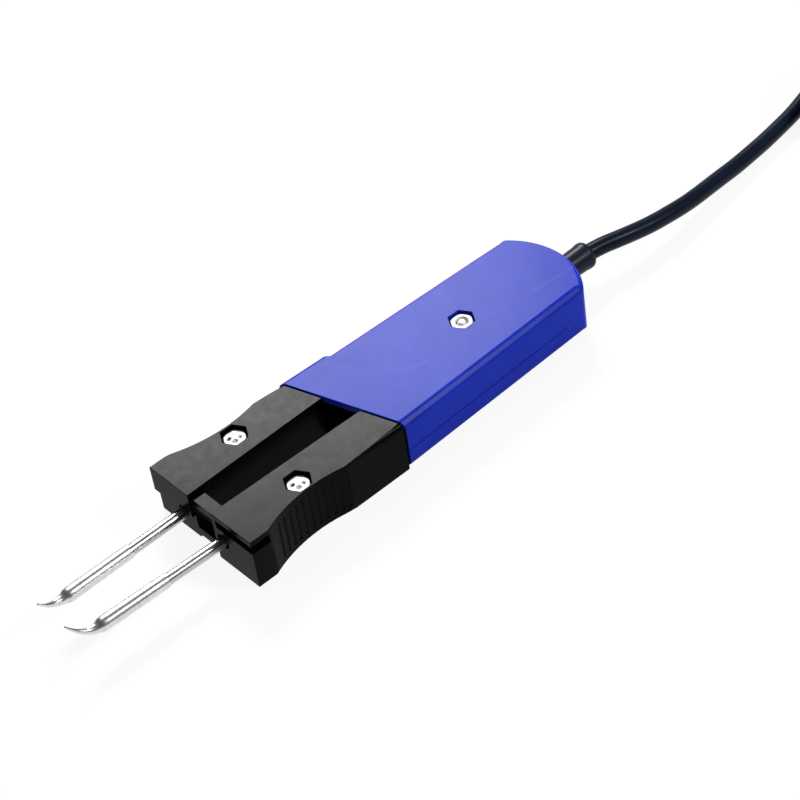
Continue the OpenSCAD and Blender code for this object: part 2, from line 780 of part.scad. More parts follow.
// Sleeve that slips over the rod, with a bent point that rises and leans inwards
module tip(side) {
  steps = 10;
  bend_power = 2.2;
  taper = 0.86;
  taper_power = 0.6;
  shoulder = 0.1;
  root_len = 1;
  root_r = tip_front_d / 2 - shoulder;
  sleeve_end = rod_show + tip_sleeve_len;
  path = concat([[0, 0, sleeve_end - root_len]], [
    for (i = [1 : steps])
      let (t = i / steps)
      [-side * point_lean * t ^ 2, point_rise * t ^ bend_power, sleeve_end + point_run * t]
  ]);
  radii = concat([root_r], [for (i = [1 : steps]) root_r * (1 - taper * (i / steps) ^ taper_power)]);
  color(steel) along_rod(side) {
    difference() {
      translate([0, 0, rod_show]) cylinder(d1 = tip_rear_d, d2 = tip_front_d, h = tip_sleeve_len);
      translate([0, 0, rod_show - eps])
        cylinder(d = rod_d + 2 * seat_clear, h = rod_in_tip + seat_clear + eps);
    }
    sweep(path, radii, [0, 1, 0], 12);
  }
}

// Sleeve around the cord at the rear, held by its flange between the shells
module cable_sleeve() {
  color(rubber) translate([0, 0, cord_z]) difference() {
    union() {
      along_y(sleeve_d, flange_y, end_y);
      along_y(flange_d, flange_y, flange_y + flange_t);
    }
    along_y(cord_d + 2 * cord_clear, flange_y - eps, end_y + eps);
  }
}

module cord_tube() {
  color(rubber) sweep(cord_route, [for (p = cord_route) cord_d / 2], [0, 0, 1], 12);
}

// Outline of a loop with two straight runs, at a distance from the middles of its folds
module hank_outline(radius) {
  hull() for (y = [hank_y0, hank_y1]) translate([hank_x, y]) circle(r = radius, $fn = 64);
}

// Outer shape of the folded length, two layers of turns on the surface
module cord_hank() {
  color(rubber) translate([0, 0, hank_z0]) linear_extrude(hank_z1 - hank_z0) difference() {
    hank_outline(hank_out_r);
    hank_outline(hank_in_r);
  }
}

// The last turn and the short length from it to the plug
module cord_tail() {
  color(rubber) sweep(tail_route, [for (p = tail_route) cord_d / 2], [0, 0, 1], 12);
}

// Band around the hank's left run
module cord_tie() {
  x0 = hank_x - hank_out_r - turn_gap;
  x1 = hank_x - hank_in_r + turn_gap;
  height = hank_z1 + turn_gap;
  color(rubber) translate([0, tie_y - tie_w / 2, 0]) difference() {
    translate([x0 - tie_t, 0, 0]) cube([x1 - x0 + 2 * tie_t, tie_w, height + tie_t]);
    translate([x0, -eps, tie_t]) cube([x1 - x0, tie_w + 2 * eps, height - tie_t]);
  }
}

// Moves children to the plug's axis, with their Z towards the contacts
module along_plug() {
  translate([plug_x, plug_y, plug_z]) rotate([-90, 0, 0]) children();
}

module plug_boot() {
  color(rubber) along_plug() cylinder(d1 = cord_d + 2 * boot_wall, d2 = boot_d, h = boot_len);
}

module plug_shell() {
  nose_z = boot_len + plug_len;
  color(black) along_plug() difference() {
    union() {
      translate([0, 0, boot_len]) cylinder(d = plug_d, h = plug_len);
      translate([0, 0, nose_z]) cylinder(d = neck_d, h = ring_len);
      translate([0, 0, nose_z]) cylinder(d = nose_d, h = ring_len + nose_len);
    }
    translate([0, 0, nose_z + ring_len - insert_len])
      cylinder(d = nose_d - 2 * nose_wall, h = insert_len + nose_len + eps);
  }
}

module plug_ring() {
  color(steel) along_plug() translate([0, 0, boot_len + plug_len]) difference() {
    cylinder(d = ring_d, h = ring_len);
    translate([0, 0, -eps]) cylinder(d = neck_d + 2 * seat_clear, h = ring_len + 2 * eps);
  }
}

module place_contacts() {
  for (i = [0 : contact_count - 1])
    rotate([0, 0, (i + 0.5) * 360 / contact_count]) translate([contact_circle / 2, 0, 0]) children();
}

module plug_insert() {
  color(ceramic) along_plug() translate([0, 0, boot_len + plug_len + ring_len - insert_len])
    difference() {
      cylinder(d = nose_d - 2 * nose_wall - 2 * seat_clear, h = insert_len);
      place_contacts() translate([0, 0, -eps])
        cylinder(d = contact_d + 2 * seat_clear, h = insert_len + 2 * eps);
    }
}

module plug_contacts() {
  color("#d9b45a") along_plug() translate([0, 0, boot_len + plug_len + ring_len - insert_len])
    place_contacts() cylinder(d = contact_d, h = insert_len + nose_len - 2 * contact_d);
}

body_top_shell();
body_bottom_shell();
body_screw();
body_nut();
pivot_pins();
return_spring();
arm_half(left, split_z, body_h);  // left_arm_upper
arm_half(left, 0, split_z);  // left_arm_lower
arm_screw(left);  // left_arm_screw
arm_nut(left);  // left_arm_nut
heater(left);  // left_heater
heater_bush(left);  // left_heater_bush
heater_leads(left);  // left_heater_leads
tip(left);  // left_tip
arm_half(right, split_z, body_h);  // right_arm_upper
arm_half(right, 0, split_z);  // right_arm_lower
arm_screw(right);  // right_arm_screw
arm_nut(right);  // right_arm_nut
heater(right);  // right_heater
heater_bush(right);  // right_heater_bush
heater_leads(right);  // right_heater_leads
tip(right);  // right_tip
wire_splices();
cable_sleeve();
cord_tube();
cord_hank();
cord_tail();
cord_tie();
plug_boot();
plug_shell();
plug_ring();
plug_insert();
plug_contacts();
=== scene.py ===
# %% [markdown]
# Soldering tweezers
# Two sprung black arms carry heated rods with bent tips. They swing in a tapered blue body of two shells,
# and a cord leaves the body through a rubber sleeve. This lesson dresses the solid parts with finished
# surfaces: it loads the parts, sets the camera, makes the finishes, lays the cord, models the pieces that
# need softer edges or finer detail than the solids have, and lights the whole like a catalogue picture.

# %% Load the parts
from math import asin, atan2, cos, pi, radians, sin

import bmesh
import bpy
from mathutils import Matrix, Vector


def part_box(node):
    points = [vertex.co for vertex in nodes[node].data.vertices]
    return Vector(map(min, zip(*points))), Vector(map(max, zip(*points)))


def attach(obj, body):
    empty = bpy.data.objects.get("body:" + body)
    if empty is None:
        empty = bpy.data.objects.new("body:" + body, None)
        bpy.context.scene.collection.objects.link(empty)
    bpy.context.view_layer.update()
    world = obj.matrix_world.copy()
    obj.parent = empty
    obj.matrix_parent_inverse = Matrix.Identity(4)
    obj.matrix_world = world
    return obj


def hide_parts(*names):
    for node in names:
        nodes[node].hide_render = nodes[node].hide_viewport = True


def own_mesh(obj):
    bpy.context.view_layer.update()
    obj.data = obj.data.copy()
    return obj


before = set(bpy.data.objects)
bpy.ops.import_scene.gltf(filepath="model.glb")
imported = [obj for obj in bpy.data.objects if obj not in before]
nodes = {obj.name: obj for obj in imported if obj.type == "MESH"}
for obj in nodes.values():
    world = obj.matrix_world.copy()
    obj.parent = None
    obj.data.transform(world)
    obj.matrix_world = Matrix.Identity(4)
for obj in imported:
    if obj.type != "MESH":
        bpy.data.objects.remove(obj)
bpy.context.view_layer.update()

MM = 0.001

# %% [markdown]
# Camera
# The picture was taken with a long lens from above the right arm, with the camera rolled a little so that
# the tool runs across the frame. A long lens keeps the sides of the tool nearly parallel. The camera's axes
# are built from three angles, which is easier to adjust than a rotation typed in by hand.

# %% Camera
view_azimuth = radians(53.884)
view_elevation = radians(42.836)
view_roll = radians(-9.184)
view_distance = 0.62775
view_target = Vector((-0.00306, 0.02234, 0))

camera_data = bpy.data.cameras.new("camera")
camera_data.lens = 112.5
camera_data.sensor_width = 36
camera = bpy.data.objects.new("camera", camera_data)
bpy.context.scene.collection.objects.link(camera)
bpy.context.scene.camera = camera

view_back = Vector((
    sin(view_azimuth) * cos(view_elevation),
    -cos(view_azimuth) * cos(view_elevation),
    sin(view_elevation),
))
level_right = Vector((cos(view_azimuth), sin(view_azimuth), 0))
level_up = view_back.cross(level_right)
view_right = level_right * cos(view_roll) + level_up * sin(view_roll)
view_up = level_up * cos(view_roll) - level_right * sin(view_roll)
camera.matrix_world = (
    Matrix.Translation(view_target + view_distance * view_back)
    @ Matrix((view_right, view_up, view_back)).transposed().to_4x4()
)
print("camera at", tuple(round(c, 4) for c in camera.matrix_world.translation))

# %% [markdown]
# Node helpers
# Every finish below is a small node tree on a Principled shader. These helpers add a node, join two sockets
# and make noise from Object coordinates, so that each finish reads as a short recipe.

# %% Node helpers
def new_finish(name, colour, roughness, metallic=0.0, specular=0.5):
    """A material with a Principled shader whose even values sit on its own sockets."""
    material = bpy.data.materials.new(name)
    material.use_nodes = True
    shader = material.node_tree.nodes["Principled BSDF"]
    shader.inputs["Base Color"].default_value = (*colour, 1)
    shader.inputs["Roughness"].default_value = roughness
    shader.inputs["Metallic"].default_value = metallic
    shader.inputs["Specular IOR Level"].default_value = specular
    return material, shader


def add_node(owner, kind, **values):
    """A new node of a material or world, with its sockets set by name and other settings as attributes."""
    node = owner.node_tree.nodes.new(kind)
    for name, value in values.items():
        socket = node.inputs.get(name.replace("_", " ").title())
        if socket is None:
            setattr(node, name, value)
        else:
            socket.default_value = value
    return node


def join(owner, out_socket, in_socket):
    owner.node_tree.links.new(out_socket, in_socket)


def noise(material, scale, detail=2.0, stretch=(1, 1, 1)):
    """Noise on Object coordinates, in features per metre, stretched along the axes."""
    place = add_node(material, "ShaderNodeTexCoord")
    mapping = add_node(material, "ShaderNodeMapping", scale=stretch)
    texture = add_node(material, "ShaderNodeTexNoise", scale=scale, detail=detail)
    join(material, place.outputs["Object"], mapping.inputs["Vector"])
    join(material, mapping.outputs["Vector"], texture.inputs["Vector"])
    return texture.outputs["Fac"]


print("node helpers ready")

# %% Patterns on a shader
def vary_colour(material, shader, factor, dark, light):
    """Blends two close shades by a pattern."""
    ramp = add_node(material, "ShaderNodeValToRGB")
    ramp.color_ramp.elements[0].position = 0.3
    ramp.color_ramp.elements[1].position = 0.7
    ramp.color_ramp.elements[0].color = (*dark, 1)
    ramp.color_ramp.elements[1].color = (*light, 1)
    join(material, factor, ramp.inputs["Fac"])
    join(material, ramp.outputs["Color"], shader.inputs["Base Color"])


def vary_roughness(material, shader, factor, low, high):
    """Spreads the roughness between two values by a pattern."""
    spread = add_node(material, "ShaderNodeMapRange", to_min=low, to_max=high)
    join(material, factor, spread.inputs["Value"])
    join(material, spread.outputs["Result"], shader.inputs["Roughness"])


def add_bump(material, shader, factor, strength, depth):
    """Raises the surface by a pattern, depth in metres."""
    bump = add_node(material, "ShaderNodeBump", strength=strength, distance=depth)
    join(material, factor, bump.inputs["Height"])
    join(material, bump.outputs["Normal"], shader.inputs["Normal"])


print("patterns ready")

# %% [markdown]
# Finishes
# The mouldings are plastics with a fine grain: a satin blue body and black arms. They mirror little, so that
# their sides stay deep in colour beside a white floor. The rods and tips are bright steel with faint marks,
# the fasteners are plated and a little dull, and the cord has a smooth vinyl jacket. The hollow of the body
# is blue plastic like the rest, but it gets a near-black painted shade, because little light reaches it. Each
# finish varies a little in shade and roughness, because a single even colour looks like paint in the computer
# and not like a thing.

# %% Plastics and rubbers
def moulded(name, dark, light, rough_low, rough_high, specular, grain_depth):
    """Moulded plastic: soft clouds of shade and a fine grain."""
    material, shader = new_finish(name, light, rough_high, specular=specular)
    vary_colour(material, shader, noise(material, 60, 3), dark, light)
    vary_roughness(material, shader, noise(material, 420, 4), rough_low, rough_high)
    add_bump(material, shader, noise(material, 2600, 2), 0.35, grain_depth)
    return material


# Darker and lighter shade, lowest and highest roughness, specular level and depth of the grain in metres
blue_plastic = moulded(
    "blue_plastic", (0.007, 0.021, 0.325), (0.010, 0.027, 0.37), 0.20, 0.26, 0.027, 0.00001)
black_plastic = moulded(
    "black_plastic", (0.0010, 0.0010, 0.0011), (0.0020, 0.0020, 0.0021), 0.15, 0.32, 0.027, 0.00002)
black_rubber = moulded(
    "black_rubber", (0.006, 0.008, 0.018), (0.009, 0.012, 0.026), 0.30, 0.38, 0.10, 0.00002)
cord_jacket = moulded(
    "cord_jacket", (0.003, 0.0055, 0.014), (0.005, 0.009, 0.020), 0.27, 0.33, 0.08, 0.00001)
tie_plastic = moulded(
    "tie_plastic", (0.010, 0.010, 0.011), (0.016, 0.016, 0.017), 0.4, 0.5, 0.5, 0.00002)
plug_plastic = moulded(
    "plug_plastic", (0.010, 0.010, 0.011), (0.016, 0.016, 0.018), 0.34, 0.46, 0.5, 0.00003)
insert_plastic = moulded(
    "insert_plastic", (0.42, 0.38, 0.30), (0.50, 0.46, 0.38), 0.45, 0.55, 0.5, 0.00002)
bush_ceramic = moulded(
    "bush_ceramic", (0.66, 0.62, 0.54), (0.76, 0.73, 0.66), 0.6, 0.75, 0.4, 0.00003)
lead_insulation = moulded(
    "lead_insulation", (0.36, 0.03, 0.03), (0.46, 0.05, 0.045), 0.35, 0.45, 0.5, 0.00001)
# Painted shade: the hollow inside the body is blue plastic, but little light reaches it, so it is given near
# black
painted_shade_inside = moulded(
    "painted_shade_inside", (0.002, 0.002, 0.006), (0.003, 0.003, 0.009), 0.6, 0.7, 0.02, 0.00002)
splice_sleeving = moulded(
    "splice_sleeving", (0.22, 0.02, 0.025), (0.30, 0.03, 0.035), 0.4, 0.5, 0.5, 0.00001)
print("plastics ready")

# %% Metals
def metal(name, dark, light, rough_low, rough_high, stretch, marks):
    """Bright metal with fine marks along it, around it or all over."""
    material, shader = new_finish(name, light, rough_high, metallic=1.0)
    vary_colour(material, shader, noise(material, 300, 3, stretch), dark, light)
    vary_roughness(material, shader, noise(material, 500, 3, stretch), rough_low, rough_high)
    add_bump(material, shader, noise(material, 900, 2, stretch), 0.2, marks)
    return material


around_y = (0.1, 4, 0.1)
along_y = (3, 0.05, 3)
even = (1, 1, 1)
# Darker and lighter shade, lowest and highest roughness, run of the marks and their depth in metres
rod_steel = metal(
    "rod_steel", (0.46, 0.46, 0.47), (0.58, 0.58, 0.59), 0.24, 0.30, along_y, 0.0000002)
tip_plating = metal(
    "tip_plating", (0.62, 0.62, 0.63), (0.76, 0.76, 0.77), 0.25, 0.34, around_y, 0.0000002)
plated_steel = metal(
    "plated_steel", (0.66, 0.66, 0.66), (0.82, 0.82, 0.81), 0.64, 0.74, even, 0.0000004)
pin_steel = metal(
    "pin_steel", (0.52, 0.52, 0.53), (0.62, 0.62, 0.63), 0.2, 0.3, even, 0.000003)
spring_steel = metal(
    "spring_steel", (0.42, 0.42, 0.43), (0.52, 0.52, 0.53), 0.2, 0.32, even, 0.000003)
ring_metal = metal(
    "ring_metal", (0.52, 0.53, 0.54), (0.64, 0.65, 0.66), 0.2, 0.34, around_y, 0.000004)
contact_brass = metal(
    "contact_brass", (0.66, 0.46, 0.16), (0.80, 0.60, 0.26), 0.16, 0.28, even, 0.000003)
print("metals ready")

# %% [markdown]
# Cord
# The cord leaves the sleeve straight, sinks to the surface under its own weight and runs out of the picture.
# The length that the picture doesn't show is folded for storage into a tied hank: two turns side by side in
# two layers, a last turn on top, and the plug beside it. A Bezier curve with automatic handles passes
# through listed points, and the hank's points come from a loop over its turns.

# %% Sizes of the cord
cord_d = 4.6 * MM
sleeve_low, sleeve_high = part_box("cable_sleeve")
sleeve_end_y = sleeve_high.y
cord_exit_z = (sleeve_low.z + sleeve_high.z) / 2
cord_rest_z = cord_d / 2 + 0.1 * MM

hank_x = 12.4 * MM
hank_y0 = sleeve_end_y + 104.5 * MM
hank_y1 = hank_y0 + 72 * MM
inner_r = 13.8 * MM
outer_r = inner_r + cord_d
layer_z = [3.2 * MM, 7.9 * MM, 12.6 * MM]
boot_low, boot_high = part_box("plug_boot")
plug_x = (boot_low.x + boot_high.x) / 2
plug_y = boot_low.y
plug_z = (boot_low.z + boot_high.z) / 2
tail_start_y = hank_y0 + 8 * MM

# The cord's first places, in the body and the sleeve, in millimetres behind the sleeve's end
cord_start = (-16.5, -9.5, 0)
# Across the part and behind the sleeve in millimetres, and the share of the sleeve's height that is left
cord_bends = [
    (0.7, 5, 1), (1.6, 9, 0.96), (2.4, 13, 0.9), (3, 17.5, 0.8), (3.4, 22, 0.71), (3.5, 27, 0.61),
    (3.4, 32, 0.49), (3, 37.5, 0.37), (2.4, 43, 0.27), (1.8, 49, 0.18), (1.2, 55, 0.08),
    (0.4, 62, 0.02), (-0.4, 69, 0), (-1.4, 76, 0), (-2.6, 83, 0), (-4, 89, 0.02), (-5.2, 94.5, 0.08),
]
print("cord leaves at", round(sleeve_end_y, 4), round(cord_exit_z, 4))

# %% [markdown]
# Each turn of the hank has four stretches: the left run, the far fold, the right run and the near fold. A
# turn changes to its next lane on the right run, and the turns there change one after another, so that no
# two meet. The lower layer winds inwards, the upper layer outwards, and the last turn climbs on top.

# %% Turns of the hank
def eased(share):
    share = min(1.0, max(0.0, share))
    return share * share * (3 - 2 * share)


def between(start, end, share):
    return start + (end - start) * share


def fold(middle_y, radius, first_angle, heights):
    """Half a turn, clockwise from an angle, with one point for each height."""
    steps = len(heights)
    angles = [first_angle - pi * i / steps for i in range(steps)]
    return [
        Vector((hank_x + radius * cos(a), middle_y + radius * sin(a), z)) for a, z in zip(angles, heights)]


# Radius and height of the lanes, in the order in which the cord fills them
lanes = [(outer_r, layer_z[0]), (inner_r, layer_z[0]), (inner_r, layer_z[1]), (outer_r, layer_z[1])]
# The shares of the right run between which turns 0, 1 and 2 change to the next lane
lane_changes = [(0.61, 1.0), (0.31, 0.67), (0.0, 0.39)]
run_steps = 10
fold_steps = 10


def left_run(radius, height):
    shares = [i / run_steps for i in range(0, run_steps, 2)]
    return [Vector((hank_x - radius, between(hank_y0, hank_y1, share), height)) for share in shares]


def hank_points():
    """The turns of the hank's two layers, up to the end of the last left run."""
    points = []
    for lane, next_lane, (first, last) in zip(lanes, lanes[1:], lane_changes):
        radius, height = lane
        next_radius, next_height = next_lane
        points += left_run(radius, height)
        points += fold(hank_y1, radius, pi, [height] * fold_steps)
        for i in range(run_steps):
            share = i / run_steps
            moved = eased((share - first) / (last - first))
            points.append(Vector((
                hank_x + between(radius, next_radius, moved),
                between(hank_y1, hank_y0, share),
                between(height, next_height, moved))))
        points += fold(hank_y0, next_radius, 0, [next_height] * fold_steps)
    return points + left_run(*lanes[-1])


print("turns in two layers:", len(lane_changes))

# %% Whole route
top_run_steps = 4
tail_steps = 8


def tail_points():
    """The last turn, which climbs round the far fold and lies on top, and the length to the plug."""
    climb = [between(layer_z[1], layer_z[2], eased(i / fold_steps)) for i in range(fold_steps)]
    points = fold(hank_y1, outer_r, pi, climb)
    for i in range(top_run_steps):
        points.append(Vector((hank_x + outer_r, between(hank_y1, hank_y0, i / top_run_steps), layer_z[2])))
    points += fold(hank_y0, outer_r, 0, [layer_z[2]] * fold_steps)
    points.append(Vector((hank_x - outer_r, hank_y0, layer_z[2])))
    for i in range(tail_steps + 1):
        moved = eased(i / (tail_steps - 1))
        points.append(Vector((
            between(hank_x - outer_r, plug_x, moved),
            between(tail_start_y, plug_y, i / tail_steps),
            between(layer_z[2], plug_z, moved))))
    return points


def cord_points():
    """The cord's centreline, from inside the body through the hank to the plug's boot."""
    points = [Vector((0, sleeve_end_y + y * MM, cord_exit_z)) for y in cord_start]
    for across, behind, share in cord_bends:
        height = between(cord_rest_z, cord_exit_z, share)
        points.append(Vector((across * MM, sleeve_end_y + behind * MM, height)))
    return points + hank_points() + tail_points()


cord_line = cord_points()

# %% Cord curve
cord_curve = bpy.data.curves.new("cord", "CURVE")
cord_curve.dimensions = "3D"
cord_curve.bevel_depth = cord_d / 2
cord_curve.bevel_resolution = 6
cord_curve.resolution_u = 6
cord_curve.use_fill_caps = True
spline = cord_curve.splines.new("BEZIER")
spline.bezier_points.add(len(cord_line) - 1)
for bezier, place in zip(spline.bezier_points, cord_line):
    bezier.co = place
    bezier.handle_left_type = "AUTO"
    bezier.handle_right_type = "AUTO"
cord = bpy.data.objects.new("cord", cord_curve)
bpy.context.scene.collection.objects.link(cord)
cord.data.materials.append(cord_jacket)
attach(cord, "housing")
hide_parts("cord_tube", "cord_hank", "cord_tail")
print("cord laid")

# %% [markdown]
# Mesh helpers
# A block is an outline that is extruded between two heights, and a rod is a cone with two radii. Cuts are
# made with a second mesh and a Boolean modifier, whose result is kept and the cutter thrown away.

# %% Blocks and rods
def prism(outline, z0, z1):
    """A closed block with a flat outline, between two heights."""
    mesh = bmesh.new()
    face = mesh.faces.new([mesh.verts.new((x, y, z0)) for x, y in outline])
    made = bmesh.ops.extrude_face_region(mesh, geom=[face])
    top = [part for part in made["geom"] if isinstance(part, bmesh.types.BMVert)]
    bmesh.ops.translate(mesh, vec=(0, 0, z1 - z0), verts=top)
    bmesh.ops.recalc_face_normals(mesh, faces=mesh.faces)
    return mesh


def rod_mesh(start, end, radius, segments=48, end_radius=None):
    """A closed cylinder or cone between two points."""
    mesh = bmesh.new()
    axis = end - start
    turn = axis.to_track_quat("Z", "Y").to_matrix().to_4x4()
    place = Matrix.Translation((start + end) / 2) @ turn
    bmesh.ops.create_cone(
        mesh, cap_ends=True, segments=segments, radius1=radius,
        radius2=radius if end_radius is None else end_radius, depth=axis.length, matrix=place)
    return mesh


def upright(x, y, z0, z1, radius, segments=48):
    return rod_mesh(Vector((x, y, z0)), Vector((x, y, z1)), radius, segments)


def hexagon(x, y, z0, z1, across_flats):
    """A hexagonal prism with two flats towards the sides."""
    return upright(x, y, z0, z1, across_flats / 2 / cos(pi / 6), 6)


print("block helpers ready")

# %% Objects and cuts
def loose_object(name, mesh):
    """An object from a bmesh, in the scene but not yet riding on anything."""
    data = bpy.data.meshes.new(name)
    mesh.to_mesh(data)
    mesh.free()
    made = bpy.data.objects.new(name, data)
    bpy.context.scene.collection.objects.link(made)
    return made


def applied(piece):
    """Keeps what a piece's modifiers make, and removes them."""
    bpy.context.view_layer.update()
    evaluated = piece.evaluated_get(bpy.context.evaluated_depsgraph_get())
    result = bpy.data.meshes.new_from_object(evaluated)
    piece.modifiers.clear()
    piece.data = result


def carve(piece, tool_mesh, operation="DIFFERENCE"):
    """Applies a Boolean with a throw-away tool."""
    tool = loose_object("tool", tool_mesh)
    modifier = piece.modifiers.new("carve", "BOOLEAN")
    modifier.operation = operation
    modifier.object = tool
    modifier.solver = "EXACT"
    applied(piece)
    bpy.data.objects.remove(tool)


print("cutting helpers ready")

# %% [markdown]
# Body
# The body is two blue shells that meet at a seam low on the sides. Seen from above it tapers to a rounded
# rear, and its front is cut on a slant, with the left corner standing out a little as a collar. The outline
# is drawn once from arcs and lines, with an inset, and both shells are built from it.

# %% Body outline
body_w = 34.6 * MM
body_rear_w = 29.8 * MM
body_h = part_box("body_top_shell")[1].z
seam_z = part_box("body_top_shell")[0].z
rear_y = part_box("body_top_shell")[1].y
mouth_y = rear_y - 74.5 * MM
mouth_slant = 10.4 * MM
rear_r = 21 * MM
corner_r = 2.5 * MM
collar_step = 1.1 * MM
collar_y = mouth_y + 8.5 * MM
corner_angle = asin((body_rear_w / 2 - corner_r) / (rear_r - corner_r))
corner_x = body_rear_w / 2 - corner_r
corner_y = rear_y - rear_r + (rear_r - corner_r) * cos(corner_angle)
seam_end_y = corner_y - 5 * MM
seam_fade = 4 * MM
taper = (body_rear_w - body_w) / 2 / (corner_y - mouth_y)


def side_at(y):
    return body_w / 2 + taper * (y - mouth_y)


def mouth_at(x):
    return mouth_y + mouth_slant * x / body_w


def mouth_corner(side, half_w, ahead):
    x = side * (half_w - taper * ahead) / (1 - side * taper * mouth_slant / body_w)
    return x, mouth_at(x) - ahead


def arc(x, y, radius, start, stop, steps):
    angles = [start + (stop - start) * i / steps for i in range(steps + 1)]
    return [(x + radius * cos(a), y + radius * sin(a)) for a in angles]


def body_outline(inset, ahead=0.0):
    """The body seen from above, from the mouth's right corner round the rear to its left corner."""
    turn = pi / 2 - corner_angle
    rear = arc(0, rear_y - rear_r, rear_r - inset, turn, pi - turn, 28)
    collar_end = collar_y + collar_step
    seam_ends = [(side_at(y) - inset, y) for y in (seam_end_y - seam_fade, seam_end_y)]
    return [
        mouth_corner(1, body_w / 2 - inset, ahead),
        *seam_ends,
        *arc(corner_x, corner_y, corner_r - inset, 0, turn, 10),
        *rear[1:-1],
        *arc(-corner_x, corner_y, corner_r - inset, pi - turn, pi, 10),
        *[(-x, y) for x, y in reversed(seam_ends)],
        (inset + collar_step / 2 - side_at(collar_end), collar_end),
        (inset - collar_step / 2 - side_at(collar_y), collar_y),
        mouth_corner(-1, (body_w + collar_step) / 2 - inset, ahead),
    ]


print("outline points", len(body_outline(0)))

# %% [markdown]
# Each shell is a stack of outlines, a little smaller at each step of a rounded edge. An edge could also be
# bevelled, but in a stack each point can have a radius of its own: wide along the sides, tighter round the
# rear. The edge has a narrow facet in the middle of its rounding, which catches the light in one clear band.
# The seam's fine chamfer fades out before the rear corner, as it does on the real body.

# %% Rounded edge and seam
edge_r = 2 * MM
facet_angle = radians(41)
facet_share = 0.45
bend_share = 0.68
rear_edge_share = 0.6
seam_depth = 0.5 * MM
seam_h = 0.22 * MM


def rim_radius(x, y):
    """The outer edge's radius at a point of the outline: wide on the sides, tighter round the rear."""
    angle = atan2(y - corner_y, abs(x) - corner_x)
    return edge_r * between(1, rear_edge_share, eased(angle / (pi / 2 - corner_angle)))


def rim_steps():
    """Inset and rise of the outer edge's rounding, as shares of its radius, from the side to the top."""
    steps = 6
    lower = [between(pi / 2, facet_angle, i / steps) for i in range(steps + 1)]
    upper = [between(facet_angle, 0, i / steps) for i in range(steps + 1)]
    along = facet_share * cos(facet_angle)
    rise = facet_share * sin(facet_angle)
    profile = [(bend_share * (1 - sin(a)), bend_share * cos(a)) for a in lower]
    profile += [(bend_share * (1 - sin(a)) + along, bend_share * cos(a) + rise) for a in upper]
    last_inset, last_rise = profile[-1]
    return [(inset / last_inset, height / last_rise) for inset, height in profile]


def seam_chamfer(y):
    return seam_depth * eased((seam_end_y - y) / seam_fade)


rim_profile = rim_steps()
print("steps of the rounded edge", len(rim_profile))

# %% Body shells
wall = 2 * MM
screw_y = (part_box("body_nut")[0].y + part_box("body_nut")[1].y) / 2
boss_r = 4 * MM
pocket_af = 6.4 * MM
pocket_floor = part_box("body_nut")[0].z
head_pocket_r = 2.9 * MM
head_pocket_h = 2.4 * MM
sleeve_hole_r = 3.6 * MM


def stacked(rings):
    """A closed mesh from rings of points with equal counts."""
    mesh = bmesh.new()
    rows = [[mesh.verts.new(point) for point in ring] for ring in rings]
    for row, following in zip(rows, rows[1:]):
        for i in range(len(row)):
            mesh.faces.new((row[i - 1], row[i], following[i], following[i - 1]))
    mesh.faces.new(rows[0])
    mesh.faces.new(rows[-1])
    bmesh.ops.recalc_face_normals(mesh, faces=mesh.faces)
    return mesh


def body_shell(name, z_outer):
    """One shell, from the seam to the outside. Its hollow stops one wall short of both."""
    outside = body_outline(0)
    inside = body_outline(edge_r)
    outwards = 1 if z_outer > seam_z else -1

    def ring(inset_and_height):
        points = []
        for (x, y), (x_in, y_in) in zip(outside, inside):
            inset, height = inset_and_height(x, y)
            share = inset / edge_r
            points.append((between(x, x_in, share), between(y, y_in, share), height))
        return points

    rings = [
        ring(lambda x, y: (seam_chamfer(y), seam_z)),
        ring(lambda x, y: (0, seam_z + outwards * seam_h)),
    ]
    for inset, rise in rim_profile:
        rings.append(ring(lambda x, y: (
            rim_radius(x, y) * inset, z_outer - outwards * rim_radius(x, y) * (1 - rise))))
    shell = loose_object(name, stacked(rings))
    hollow_ends = sorted((seam_z + outwards * wall, z_outer - outwards * wall))
    boss_ends = sorted((seam_z, z_outer - outwards * wall / 2))
    carve(shell, prism(body_outline(wall, edge_r), *hollow_ends))
    carve(shell, upright(0, screw_y, *boss_ends, boss_r), "UNION")
    carve(shell, rod_mesh(
        Vector((0, rear_y - 3 * wall, cord_exit_z)), Vector((0, rear_y + wall, cord_exit_z)), sleeve_hole_r))
    return shell


top_shell = body_shell("top_shell", body_h)
bottom_shell = body_shell("bottom_shell", 0)
carve(top_shell, hexagon(0, screw_y, pocket_floor, body_h + wall, pocket_af))
carve(bottom_shell, upright(0, screw_y, -wall, head_pocket_h, head_pocket_r))
print("shells rounded and hollowed")

# %% [markdown]
# A faint crease runs along the top: the panel to its left lies a fraction of a millimetre lower than the
# strip to its right, and a narrow slope joins the two. The panel is cut with one shallow tool, wider at its
# top. Rims are then bevelled, because an edge with no radius at all catches no light.

# %% Crease on the top
crease_depth = 0.036 * MM
crease_w = 0.7 * MM
panel_rear_x = 7.2 * MM
panel_front_x = 4.2 * MM
panel_bend_r = 11 * MM
panel_bend_y = collar_y + 15 * MM
panel_rear_y = rear_y + wall


def panel_ring(grow, z):
    """The panel seen from above, with its edge moved outwards by grow."""
    bend = arc(panel_front_x - panel_bend_r, panel_bend_y, panel_bend_r + grow, -pi / 2, 0, 16)
    outline = [
        (panel_rear_x + grow, panel_rear_y), (-body_w, panel_rear_y), (-body_w, collar_y - grow),
        (-body_w / 2, collar_y - grow), *bend,
    ]
    return [(x, y, z) for x, y in outline]


carve(top_shell, stacked([
    panel_ring(0, body_h - crease_depth),
    panel_ring(crease_w, body_h),
    panel_ring(crease_w, body_h + wall),
]))
print("panel lowered by", crease_depth)

# %% Edges and finish of a piece
def corner(edge):
    return edge.calc_face_angle(0)


